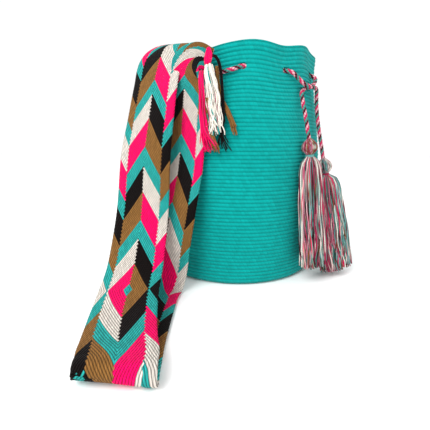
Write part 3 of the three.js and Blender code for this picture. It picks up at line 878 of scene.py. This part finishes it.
# ---- yarn ends at the band's two seams ----
# Each front bundle: its colours, its count of yarns, its half width along the way as pairs of
# share and millimetres, its half depth, and its routes
FRONT_BUNDLES = {
    "white": {"colours": [CREAM] * 12 + [SOFT_GREEN, TEAL, PALE_ROSE, AQUA], "count": 60,
              "width": [(0, 4.5), (0.25, 8.5), (0.65, 11.5), (1, 12.0)], "depth": 3.4,
              "routes": [[(-38, -111, 260), (-37, -113.5, 251), (-35, -113, 237), (-33.5, -114.5, 212),
                          (-32, -119, 184)]]},
    "black": {"colours": [BLACK], "count": 14,
              "width": [(0, 1.3), (0.68, 1.4), (0.75, 3.2), (0.8, 1.3), (0.9, 4.0), (1, 7.5)], "depth": 1.5,
              "routes": [[(-34, -109, 270.5), (-29.5, -110.5, 268.5), (-25, -112, 256), (-23, -111, 236),
                          (-22, -113.5, 208), (-24, -117.5, 187), (-20, -119.5, 166)]]},
    "brown": {"colours": [BROWN], "count": 22,
              "width": [(0, 2.0), (0.6, 2.4), (1, 4.2)], "depth": 2.0,
              "routes": [[(-29.5, -106.5, 260), (-28.5, -105.8, 246), (-25, -105.5, 228),
                          (-18.5, -109.5, 214), (-13, -113.5, 200), (-8.5, -118.5, 184)],
                         [(-40, -113.5, 226), (-40, -114.5, 208), (-36, -117, 190), (-27, -121.5, 165)]]},
    "pink": {"colours": [PINK, PINK, ROSE, PINK], "count": 34,
             "width": [(0, 2.2), (0.5, 3.0), (0.75, 4.2), (0.86, 6.0), (1, 9.0)], "depth": 2.4,
             "routes": [[(-45.5, -109, 254), (-46.5, -113.5, 247), (-46, -115, 232), (-45, -115.5, 210),
                         (-43, -117.5, 190), (-36, -120.5, 165)]]},
}
REAR_BUNDLES = {
    "white": (153.8, 78, 3), "black": (150.8, 98, 2), "brown": (148.4, 84, 2), "pink": (145.8, 92, 2),
}
REAR_TOP = 265.6


def bundle_lines(chance, route, count, width, depth):
    """The yarns of a loose bundle along a route, (yarns, steps, 3). Each keeps its own place in
    the bundle's oval, as wide as the width's table says and as deep as depth, winds a little
    round the route and waves, and has its own length."""
    line, along = even_curve(route, 3.5)
    tangent = unit(np.gradient(line, axis=0))
    outward = unit(np.array([line[:, 0].mean(), line[:, 1].mean(), 0.0]))
    first = unit(np.cross(tangent, outward))
    second = np.cross(first, tangent)
    t = (along / along[-1])[None]
    share = np.sqrt(chance.random(count))[:, None]
    bearing = chance.random(count)[:, None] * 2 * np.pi
    table = np.array(width, float)
    half = np.interp(t, table[:, 0], table[:, 1])
    deep = depth * (0.8 + 0.5 * t)
    angle = bearing + 0.7 * t + 0.4 * t * np.sin(2 * np.pi * (1.4 * t + chance.random(count)[:, None]))
    reach = share * (1 + 0.15 * np.sin(2 * np.pi * (2.2 * t + chance.random(count)[:, None])))
    wanted = chance.uniform(0.84, 1.0, count)[:, None] * along[None]
    centre = np.stack([np.interp(wanted, along, line[:, k]) for k in range(3)], axis=-1)
    return (centre + (half * reach * np.cos(angle))[..., None] * first[None]
            + (deep * reach * np.sin(angle))[..., None] * second[None])


def build_bundle(name, spec, seed):
    """A bundle's yarns as one piece, each with its own colour and tone."""
    chance = np.random.default_rng(seed)
    steps = 24
    groups = []
    for route in spec["routes"]:
        lines = bundle_lines(chance, route, spec["count"], spec["width"], spec["depth"])
        at = np.linspace(0, lines.shape[1] - 1, steps)
        low = np.minimum(at.astype(int), lines.shape[1] - 2)
        part = (at - low)[None, :, None]
        groups.append(lines[:, low] * (1 - part) + lines[:, low + 1] * part)
    lines = np.concatenate(groups)
    count = len(lines)
    pick = np.array(spec["colours"])[chance.integers(0, len(spec["colours"]), count)]
    tone = chance.uniform(0.82, 1.12, (count, 1, 1))
    shades = np.clip(np.repeat(pick[:, None], steps, axis=1) * tone, 0, 1)
    reference = np.tile([0.3, 0.95, 0.05], (count, 1))
    return yarns(name, lines, np.full((count, steps), 0.62), shades, reference)


def build_yarn_ends():
    materials = {colour: yarn_material(f"{colour}_yarn_cotton") for colour in FRONT_BUNDLES}
    for number, (colour, spec) in enumerate(FRONT_BUNDLES.items()):
        front = build_bundle(f"yarn_ends_{colour}_front", spec, 50 + number)
        bearing, length, radius = REAR_BUNDLES[colour]
        drop = [(104.8, 0), (111.5, 9), (113, 0.5 * length), (119, length)]
        rear_spec = {"colours": spec["colours"], "count": 26, "depth": radius,
                     "width": [(0, 0.8 * radius), (0.6, 1.1 * radius), (1, 2.4 * radius)],
                     "routes": [[around(bearing, out, REAR_TOP - down) for out, down in drop]]}
        rear = build_bundle(f"yarn_ends_{colour}_rear", rear_spec, 60 + number)
        for piece, where in ((front, "front"), (rear, "rear")):
            piece.data.materials.append(materials[colour])
            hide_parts(f"fringe_{colour}_{where}")
            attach(piece, "root")


# ---- seams ----
SEAMS = {
    "front": [(-38.5, -108.5, 257), (-38.5, -108.9, 268), (-38.5, -108.7, 279)],
    "rear": [(43, 102, 271), (54.6, 96.6, 271), (65.5, 88.8, 271)],
}


def build_seams():
    """Each seam is a row of whip stitches: short arcs across the band's sewn end. The front ones
    are pink, closer, and longest in the middle of the row, like a leaf."""
    material = yarn_material("sewing_yarn")
    for where, route in SEAMS.items():
        line, along = even_curve(route, 0.5)
        tangent = unit(line[-1] - line[0])
        out = unit(np.array([line[:, 0].mean(), line[:, 1].mean(), 0.0]))
        across = np.cross(tangent, out)
        count, steps = (16, 9) if where == "front" else (7, 9)
        centre = np.stack([np.interp(np.linspace(0.06, 0.94, count), along / along[-1], line[:, k])
                           for k in range(3)], axis=-1)
        t = np.linspace(-1, 1, steps)[None, :, None]
        middle = np.sin(np.pi * (np.arange(count) + 0.5) / count)
        reach = (1.4 + 3.4 * middle if where == "front" else 2.6 + 0 * middle)[:, None, None]
        lines = centre[:, None] + reach * t * (across + 0.5 * tangent) + 1.3 * (1 - t * t) * out
        colours = np.tile(PINK if where == "front" else TEAL, (count, steps, 1))
        piece = yarns(f"seam_stitches_{where}", lines, np.full((count, steps), 0.55), colours,
                      np.tile(tangent, (count, 1)), 6)
        piece.data.materials.append(material)
        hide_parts(f"stitching_{where}")
        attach(piece, "root")


# ---- camera, floor and light ----
def build_camera():
    data = bpy.data.cameras.new("camera")
    data.sensor_width = 36
    data.lens = 26.79
    camera = bpy.data.objects.new("camera", data)
    camera.location = (-0.031, -0.49, 0.18)
    camera.rotation_euler = (math.pi / 2 - 0.23, 0, 0)
    bpy.context.scene.collection.objects.link(camera)
    bpy.context.scene.camera = camera


def build_stage():
    """A wide pale floor just under the bag, white light all round and soft lamps."""
    mesh = bpy.data.meshes.new("floor")
    half = 4.0
    mesh.from_pydata([(-half, -half, -0.0002), (half, -half, -0.0002), (half, half, -0.0002),
                      (-half, half, -0.0002)], [], [(0, 1, 2, 3)])
    floor = bpy.data.objects.new("floor", mesh)
    bpy.context.scene.collection.objects.link(floor)
    paint = bpy.data.materials.new("pale_floor")
    paint.use_nodes = True
    surface = paint.node_tree.nodes["Principled BSDF"]
    surface.inputs["Base Color"].default_value = (0.98, 0.98, 0.98, 1)
    surface.inputs["Roughness"].default_value = 0.9
    mesh.materials.append(paint)

    world = bpy.data.worlds.new("room")
    world.use_nodes = True
    world.node_tree.nodes["Background"].inputs["Color"].default_value = (1, 1, 1, 1)
    world.node_tree.nodes["Background"].inputs["Strength"].default_value = 1.03
    bpy.context.scene.world = world
    lamps = (("key", (-0.9, -1.3, 1.5), 34, 1.2), ("fill", (1.4, -0.6, 1.1), 3, 1.2))
    for name, place, power, size in lamps:
        lamp = bpy.data.lights.new(name, "AREA")
        lamp.energy = power
        lamp.size = size
        holder = bpy.data.objects.new(name, lamp)
        holder.location = place
        aim = np.array([0, 0, 0.15]) - np.array(place)
        holder.rotation_euler = (math.atan2(math.hypot(aim[0], aim[1]), -aim[2]), 0,
                                 math.atan2(aim[1], aim[0]) - math.pi / 2)
        bpy.context.scene.collection.objects.link(holder)
    return floor


build_camera()
build_stage()
bpy.context.scene.view_settings.view_transform = "Standard"
cord, cord_line, cord_along = build_drawstring()
build_body()
mixed = yarn_material("mixed_tassel_yarn")
on_cord = [piece for side, spec in TASSELS.items() for piece in build_tassel(side, spec, mixed)[1:]]
build_band()
build_yarn_ends()
build_seams()
